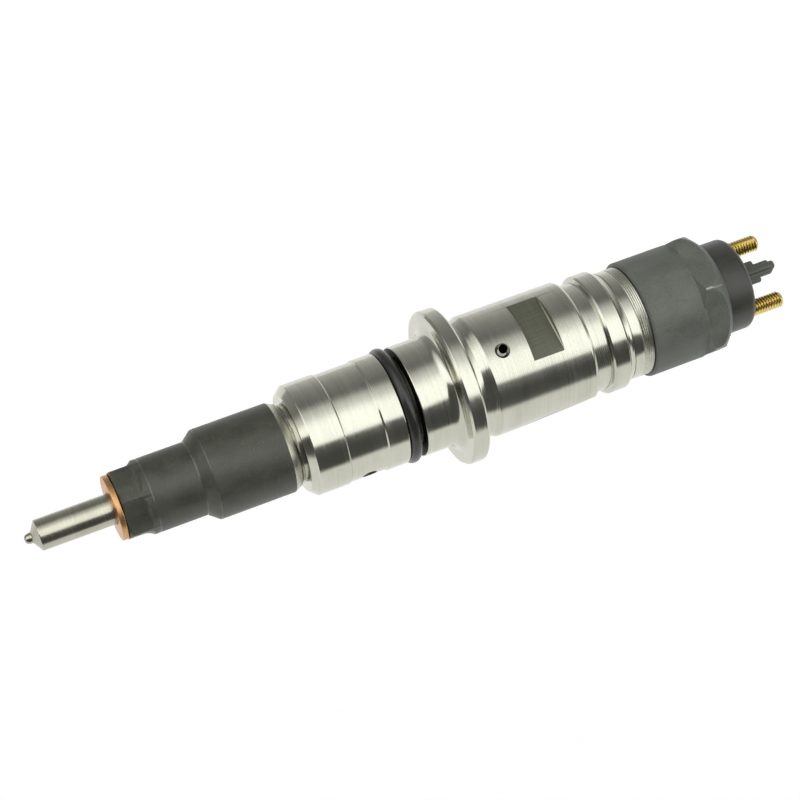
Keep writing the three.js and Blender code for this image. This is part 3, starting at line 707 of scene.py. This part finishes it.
def body_outside():
    """The turned outside of the body, from the nozzle end to the solenoid end."""
    nose_r, undercut_r, chamfer_r = 7.05, 8.6, 11.4
    relief_start, relief_end, relief_r = -27.4, -17.9, 12.7
    neck_r, neck_end = 13.5, 6.4
    seat_fillet, back_fillet = 2.4, 1.4
    edge = 0.5
    step = 0.07  # between the rings that carry a thread
    lip_r = 12.5
    return [
        (nose_r, BODY_START, 0.2), (nose_r, BODY_NOSE_END), (THREAD_R, BODY_NOSE_END, 0.3),
        (THREAD_R, THREAD_START - 0.1), *run(THREAD_R, THREAD_START, THREAD_END, step),
        (undercut_r, THREAD_END + 0.1), (undercut_r, HEAD_FACE),
        (chamfer_r, HEAD_FACE, 0.12), (BODY_R, HEAD_FACE + 1.65, 0.2),
        (BODY_R, relief_start, 0.1), (relief_r, relief_start + 0.3, 0.1),
        (relief_r, relief_end - 0.3, 0.1), (BODY_R, relief_end, 0.1),
        (BODY_R, GROOVE_START, 0.2), (GROOVE_R, GROOVE_START, 0.3),
        (GROOVE_R, GROOVE_END, 0.3), (BODY_R, GROOVE_END, 0.2),
        *arc(BODY_R + seat_fillet, -seat_fillet, seat_fillet, 180, 90, 10),
        (FLANGE_R - edge, 0, 0.1), (FLANGE_R, edge, 0.2),
        (FLANGE_R, FLANGE_THICKNESS - edge, 0.2), (FLANGE_R - edge, FLANGE_THICKNESS, 0.1),
        *arc(neck_r + back_fillet, FLANGE_THICKNESS + back_fillet, back_fillet, -90, -180, 8),
        (neck_r + 0.1, neck_end, 1.0), (neck_r + 0.45, neck_end + 1.1, 1.2), (UPPER_R, neck_end + 2.2, 0.8),
        (UPPER_R, UPPER_END - 0.8, 0.6), (UPPER_R - 0.35, UPPER_END - 0.15, 0.4),
        (UPPER_R - 0.8, UPPER_END, 0.1), (WAIST_R, UPPER_END, 0.1),
        (WAIST_R, COLLAR_START - 0.2, 0.1), (COLLAR_R - 0.35, COLLAR_START - 0.05, 0.1),
        (COLLAR_R, COLLAR_START + 0.35, 0.15),
        (COLLAR_R, COLLAR_END, 0.15), (13.4, COLLAR_END + 0.6, 0.3), (13.1, COLLAR_END + 1.25, 0.3),
        (12.95, COLLAR_END + 1.75, 0.05), (12.75, COLLAR_END + 1.8), (12.75, COLLAR_END + 1.95),
        (WAIST_R, COLLAR_END + 2.0, 0.05), *run(WAIST_R, TOP_THREAD_START, TOP_THREAD_END, step),
        (lip_r, TOP_THREAD_END + 0.05), (lip_r, BODY_TOP - 0.3), (lip_r - 0.3, BODY_TOP),
    ]


def body_bore():
    """The stepped bore, from the solenoid end back to the nozzle end."""
    stretches = [
        # (radius, where it ends)
        (10.9, 41.5), (9.7, 33.5), (8.6, 28.0), (7.05, 20.0), (4.5, 12.0), (2.2, -36.0), (3.2, BODY_START),
    ]
    profile = []
    start = BODY_TOP
    for radius, end in stretches:
        profile += [(radius, start), (radius, end)]
        start = end
    return profile


def body_cutters():
    """The milled flats, the vent, the return drilling and the high-pressure inlet."""
    flat_start, flat_end, flat_r, flat_roll = 18.75, 26.45, 12.3, 10
    lean_start, lean_depth, lean_roll = 9.5, 1.35, 132
    far, wide = 20, 30  # beyond the body, and from side to side of it
    beyond = 14.0
    flat = [(flat_r, flat_start), (flat_r, flat_end - 0.3), (far, flat_end - 0.3), (far, flat_start)]
    wall = [
        (flat_r + 0.2, flat_end - 0.4), (flat_r + 0.2, flat_end - 0.1),
        (far, flat_end), (far, flat_end - 0.4),
    ]
    lean = [
        (UPPER_R, lean_start), (UPPER_R - lean_depth, UPPER_END),
        (far, UPPER_END), (far, lean_start),
    ]
    vent = [(0, UPPER_R - 1.1), (1.0, UPPER_R - 1.0), (1.75, UPPER_R - 0.1), (1.8, 15.5), (0, 15.5)]
    vent_drill = [(0, 9.0), (1.0, 9.0), (1.0, 14.2), (0, 14.2)]
    drain = [(0, 8.0), (1.5, 8.0), (1.5, 12.5), (1.75, 12.75), (1.75, beyond), (0, beyond)]
    inlet = [
        (0, 2.0), (1.9, 2.0), (1.9, 8.5), (2.2, INLET_SEAT),
        (4.0, 12.6), (4.1, beyond), (0, beyond),
    ]
    vent_place, vent_drill_place = outwards(12.7, 23.3), outwards(13.2, 21.3)
    drain_place, inlet_place = outwards(DRILLINGS_X, DRAIN_ROLL), outwards(DRILLINGS_X, INLET_ROLL)
    return [
        (prism(flat, wide, flat_roll), MILLED),
        (prism(flat, wide, flat_roll + 180), MILLED),
        (prism(lean, wide, lean_roll), TICKED_STEEL),
        (prism(wall, wide, flat_roll), BARE_STEEL),
        (prism(wall, wide, flat_roll + 180), BARE_STEEL),
        (placed(lathe(vent, SMALL), vent_place), BARE_STEEL),
        # painted shade: the vent's deep drilling leaves dark steel on its walls
        (placed(lathe(vent_drill, SMALL), vent_drill_place), PAINTED_SHADE_STEEL),
        (placed(lathe(drain, SMALL), drain_place), MILLED),
        (placed(lathe(inlet, MEDIUM), inlet_place), MILLED),
    ]


def injector_body():
    """The body, its faces shared out between turned steel, threaded steel and dark steel that is painted
    shade in the O-ring groove.
    """
    skin_r = WAIST_R - 0.1  # nothing of the bore is this far out
    threads = [
        Thread(THREAD_START, THREAD_END, pitch=0.62, depth=0.3, r_min=THREAD_R - 0.1, runout=0.15),
        Thread(TOP_THREAD_START, TOP_THREAD_END - 0.05, pitch=0.5, depth=0.13, r_min=skin_r, runout=0.2),
    ]
    profile = body_outside() + body_bore()
    piece = made("injector_body_fine", lathe(profile, FINE, threads), TURNED_STEEL)

    def upper(x, r, roll):
        return 8.0 < x < COLLAR_START and r > skin_r

    def in_groove(x, r, roll):
        return GROOVE_START < x < GROOVE_END and r > GROOVE_R - 0.5

    def threaded(x, r, roll):
        return (x < THREAD_END + 0.1 or x > TOP_THREAD_START) and r > WAIST_R - 4.5

    painted(piece, TICKED_STEEL, upper)
    # painted shade: the groove's faces get dark steel, for the shade between the O-ring and the groove's
    # walls
    painted(piece, PAINTED_SHADE_STEEL, in_groove)
    painted(piece, THREAD_STEEL, threaded)
    return stands_for(combined(piece, body_cutters()), "injector_body")


def body_o_ring():
    """The plain rubber ring in the body's groove."""
    wire_r = (O_RING_END - O_RING_START) / 2
    middle = (O_RING_END + O_RING_START) / 2
    major = node_radius("body_o_ring") - wire_r
    facets = 36
    profile = arc(major, middle, wire_r, 0, 360 - 360 / facets, facets - 1)
    return stands_for(made("body_o_ring_fine", lathe(profile, FINE), RUBBER), "body_o_ring")


def inlet_filter():
    """The edge filter in the inlet: ribs at its ends and slots cut by a fine thread between them."""
    r, length = 1.7, 4.6
    core_r = r - 0.5
    outer = INLET_SEAT - 0.4
    inner = outer - length
    cut_start, cut_end = inner + 1.2, outer - 1.2
    profile = [
        (0, inner), (r, inner, 0.1), (r, inner + 0.8, 0.1), (core_r, inner + 1.1),
        *run(core_r, cut_start, cut_end, 0.1), (core_r, outer - 1.1),
        (r, outer - 0.8, 0.1), (r, outer, 0.15), (0.5, outer, 0.05), (0.5, outer - 0.5), (0, outer - 0.5),
    ]
    threads = [Thread(cut_start, cut_end, pitch=0.5, depth=0.2, r_min=core_r - 0.1, runout=0.2)]
    bm = placed(lathe(profile, SMALL, threads), outwards(DRILLINGS_X, INLET_ROLL))
    return stands_for(made("inlet_edge_filter_fine", bm, HARDENED), "inlet_edge_filter")


# ---------------------------------------------------------------- solenoid end


def solenoid_nut():
    """The solenoid nut: a plain barrel with a hexagon at its end, chamfered to a rounded rim."""
    start, end, r = SOLENOID_NUT_START, SOLENOID_NUT_END, 13.8
    across_flats, edge_r = 27, 0.35
    hex_start, hex_full, corner_r = 61.2, 62.3, 15.45
    dome = [
        (corner_r, 63.9, 0.6), (15.05, 65.0, 0.8), (14.3, 66.2, 0.8), (13.3, 67.25, 0.8), (12.1, end, 0.25),
    ]
    bore_r, bore_end, lip_r = 12.7, 66.1, 11.15
    barrel = [
        (0, start), (r - 0.5, start, 0.2), (r, start + 0.4, 0.2), (r, hex_start + 0.4), (0, hex_start + 0.4),
    ]
    corners = [(0, hex_start), (r - 0.1, hex_start), (corner_r, hex_full, 0.3), *dome, (0, end)]
    bore = [
        (0, start - 1), (bore_r, start - 1), (bore_r, bore_end),
        (lip_r, bore_end), (lip_r, end + 1), (0, end + 1),
    ]
    bar = hexagon_bar(across_flats, hex_start - 1, end + 1, edge_r)
    piece = made("solenoid_nut_fine", lathe(corners, FINE), NUT_COATING)
    combined(piece, [(bar, NUT_COATING)], "INTERSECT")
    combined(piece, [(lathe(barrel, FINE), NUT_COATING)], "UNION")
    combined(piece, [(lathe(bore, FINE), NUT_COATING)])

    def on_edge(x, r, roll):
        off_corner = abs((roll - HEX_ROLL + 30) % 60 - 30)
        return x > end - 0.2 or (x > hex_full and r > bore_r - 0.2 and off_corner < 0.9)

    # worn edges and, partly, a painted highlight: the nut's end rim and a strip along each hexagon corner are
    # lighter
    painted(piece, WORN_AND_GLINT_COATING, on_edge)
    return stands_for(piece, "solenoid_nut")


def terminal_cap():
    """The moulded cap, with its post and the post's gussets, and the holes that the studs come through."""
    pocket_end, seat_r = 60.0, 9.8
    rim_r, rim_end = 12.3, 65.8
    corner = arc(CAP_R - CAP_CORNER, CAP_END - CAP_CORNER, CAP_CORNER, 0, 90)
    profile = [
        (0, pocket_end), (seat_r, pocket_end), (seat_r, CAP_START), (rim_r, CAP_START, 0.2),
        (rim_r, rim_end, 0.2), (CAP_R, rim_end, 0.2), *corner, (0, CAP_END),
    ]
    foot, gusset_tip = CAP_END - 1, 81.9
    where = {"roll": 12.7, "aside": 0.8}
    rib = block(foot, POST_TIP, width=1.9, depth=2.6, edge=0.6, **where)
    web = block(foot, POST_TIP - 1.0, width=3.4, depth=1.7, edge=0.5, **where)
    gussets = block(foot, gusset_tip, width=5.8, depth=1.3, edge=0.5, **where)
    piece = made("terminal_cap_fine", lathe(profile, FINE), MOULDING)
    # painted light: the post, its web and its gussets take the paler copy of the moulding
    combined(piece, [(bm, PAINTED_LIGHT_MOULDING) for bm in (rib, web, gussets)], "UNION")
    hole_r, above = STUD_R + 0.2, CAP_END + 1
    hole = [(0, pocket_end - 1), (hole_r, pocket_end - 1), (hole_r, above), (0, above)]
    holes = []
    for side in (0, 180):
        at_stud = Matrix.Translation(radial(STUD_ROLL + side) * STUD_OFFSET)
        holes.append((placed(lathe(hole, SMALL), at_stud), MOULDING))
    return stands_for(combined(piece, holes), "terminal_cap")


def terminal_stud(number, roll):
    """A brass stud with an M4 thread, chamfered at its tip."""
    node = f"terminal_stud_{number}"
    head_r, head_end = 2.2, STUD_HEAD + 1.4
    thread_start = CAP_END - 4
    profile = [
        (0, STUD_HEAD), (head_r, STUD_HEAD, 0.15), (head_r, head_end, 0.15), (STUD_R, head_end),
        *run(STUD_R, thread_start, STUD_TIP - 0.5, 0.07), (STUD_R - 0.45, STUD_TIP, 0.1), (0, STUD_TIP),
    ]
    threads = [Thread(thread_start, STUD_TIP - 0.3, pitch=0.7, depth=0.3, r_min=STUD_R - 0.1, runout=0.3)]
    bm = placed(lathe(profile, SMALL, threads), Matrix.Translation(radial(roll) * STUD_OFFSET))
    return stands_for(made(f"{node}_fine", bm, BRASS), node)


# ---------------------------------------------------------------- studio

STUDIO = [
    # (roll, brightness): the back wall, the overhead softbox, the dark front and the floor's side
    (-180, 1.0), (-120, 1.05), (-93, 0.66), (-63, 0.38), (-43, 0.29), (-25, 0.22), (-18, 0.3), (-7, 0.75),
    (6, 1.1), (20, 1.75), (30, 1.85), (60, 1.8), (64, 0.15), (86, 0.09), (112, 0.10), (119, 1.0), (180, 1.0),
]
SKEW = 52  # degrees of roll that the softbox turns by, for each unit along X of a direction
SKEW_MIDDLE = 0.25  # the X of the directions that it doesn't turn for
SKEW_LOW, SKEW_HIGH = -32, 36  # the most that it turns by, either way
FLOOR_SIDE = (80, 100)  # the rolls between which the softbox's turn fades out


def studio():
    """The world: plain soft light by its roll round the injector, from a softbox that is turned a little."""
    world = bpy.data.worlds.new("studio")
    bpy.context.scene.world = world
    world.use_nodes = True
    graph = Graph(world.node_tree)
    direction = graph.add("ShaderNodeTexCoord").outputs["Generated"]
    parts = graph.add("ShaderNodeSeparateXYZ", {"Vector": direction}).outputs
    angle = graph.math("ARCTAN2", graph.math("MULTIPLY", parts["Y"], -1.0), parts["Z"])
    roll = graph.math("DEGREES", angle)
    along = graph.math("SUBTRACT", parts["X"], SKEW_MIDDLE)
    turn = graph.math("MULTIPLY", along, float(SKEW))
    turn = graph.ranged(turn, SKEW_LOW, SKEW_HIGH, SKEW_LOW, SKEW_HIGH)
    turn = graph.math("MULTIPLY", turn, graph.ranged(roll, 1.0, 0.0, *FLOOR_SIDE))
    share = graph.ranged(graph.math("SUBTRACT", roll, turn), 0.0, 1.0, -180, 180)
    top = max(brightness for _, brightness in STUDIO)
    stops = [((angle + 180) / 360, [brightness / top] * 3) for angle, brightness in STUDIO]
    light = graph.ramp(share, *stops)
    background = world.node_tree.nodes["Background"]
    graph.links.new(light, background.inputs["Color"])
    background.inputs["Strength"].default_value = top
    backdrop = graph.add("ShaderNodeBackground", {"Color": (1, 1, 1, 1), "Strength": 1.0})
    seen = graph.add("ShaderNodeLightPath").outputs["Is Camera Ray"]
    shown = graph.add("ShaderNodeMixShader", {"Fac": seen})
    graph.links.new(background.outputs[0], shown.inputs[1])
    graph.links.new(backdrop.outputs[0], shown.inputs[2])
    graph.links.new(shown.outputs[0], world.node_tree.nodes["World Output"].inputs["Surface"])


def floor():
    """A plain pale floor below the injector, which a cylinder head holds in use."""
    height, front, back, side = -0.25, -0.47, 1.2, 1.5  # in metres
    grey, glow = 0.93, 0.16
    bm = bmesh.new()
    corners = [(-side, front), (side, front), (side, back), (-side, back)]
    bm.faces.new([bm.verts.new((x, y, height)) for x, y in corners])
    mesh = bpy.data.meshes.new("floor")
    bm.to_mesh(mesh)
    bm.free()
    material = bpy.data.materials.new("floor")
    material.use_nodes = True
    shader = material.node_tree.nodes["Principled BSDF"]
    shader.inputs["Base Color"].default_value = (grey, grey, grey, 1)
    shader.inputs["Emission Color"].default_value = (1, 1, 1, 1)
    shader.inputs["Emission Strength"].default_value = glow
    shader.inputs["Roughness"].default_value = 1.0
    shader.inputs["Specular IOR Level"].default_value = 0.0
    mesh.materials.append(material)
    plane = bpy.data.objects.new("floor", mesh)
    bpy.context.scene.collection.objects.link(plane)


def camera():
    """The camera, at the photograph's viewing angle."""
    facing = 36.73  # the roll of the side that it looks at
    lean = math.radians(13.7)  # towards the nozzle
    tilt = math.radians(19.96)  # of the injector across the picture
    lens, distance = 105.5, 0.530  # in millimetres, and in metres
    middle, aside, above = -1.44, 7.83, 1.98  # the station that it looks at, and how far off the axis it aims
    axis = Vector((1, 0, 0))
    back = radial(facing) * math.cos(lean) - axis * math.sin(lean)
    along = (axis + back * math.sin(lean)) / math.cos(lean)
    across = back.cross(along)
    right = along * math.cos(tilt) - across * math.sin(tilt)
    up = along * math.sin(tilt) + across * math.cos(tilt)
    data = bpy.data.cameras.new("camera")
    data.lens = lens
    data.clip_start, data.clip_end = 0.05, 10
    made_camera = bpy.data.objects.new("camera", data)
    aim = axis * middle - right * aside - up * above
    made_camera.location = aim * MM + back * distance
    made_camera.rotation_mode = "QUATERNION"
    made_camera.rotation_quaternion = Matrix((right, up, back)).transposed().to_quaternion()
    bpy.context.scene.collection.objects.link(made_camera)
    bpy.context.scene.camera = made_camera


# ---------------------------------------------------------------- the scene

bpy.context.scene.view_settings.view_transform = "Standard"
camera()
studio()
floor()

for node in frame["record"]["subparts"]:
    for slot in frame["nodes"][node["node"]].material_slots:
        slot.material = MATERIALS[node["material_slot"]]

nozzle_body()
sealing_washer()
nozzle_nut()
injector_body()
body_o_ring()
inlet_filter()
solenoid_nut()
terminal_cap()
terminal_stud(1, STUD_ROLL)
terminal_stud(2, STUD_ROLL + 180)
